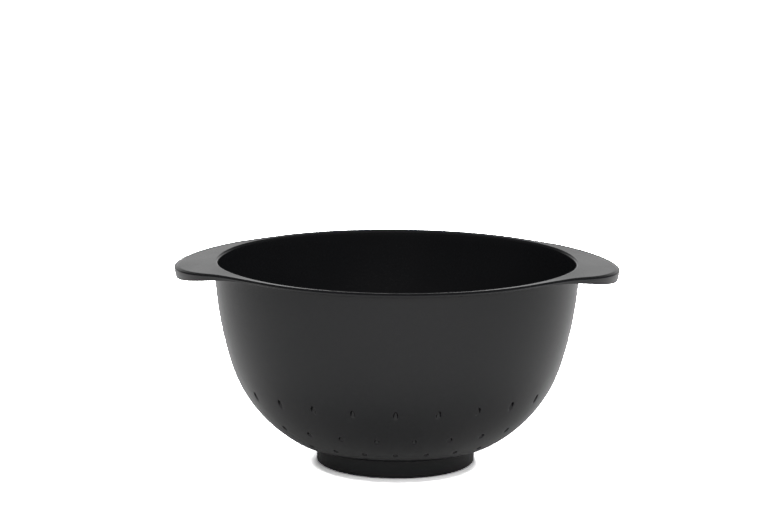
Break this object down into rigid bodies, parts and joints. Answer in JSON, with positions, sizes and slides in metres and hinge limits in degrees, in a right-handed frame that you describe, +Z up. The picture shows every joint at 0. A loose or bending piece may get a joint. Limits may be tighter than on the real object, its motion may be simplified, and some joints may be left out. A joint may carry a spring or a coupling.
{
  "type": "colander",
  "caption": "Footed bowl with a flat rim that widens into lug handles, rings of small drain holes through its lower wall and floor, and a rubber non-slip ring in the foot.",
  "frame": {"origin": "centre of the non-slip ring's resting face, on the surface that the bowl stands on", "axes": "+X through the handles, +Y to the back, +Z up along the bowl's axis"},
  "size_m": [0.287, 0.243, 0.1326],
  "materials": {
    "melamine": "satin black compression-moulded melamine with polished edges",
    "ring_rubber": "matt black moulded rubber"
  },
  "bodies": {
    "root": {"bowl_body": "melamine", "non_slip_ring": "ring_rubber"}
  },
  "joints": []
}
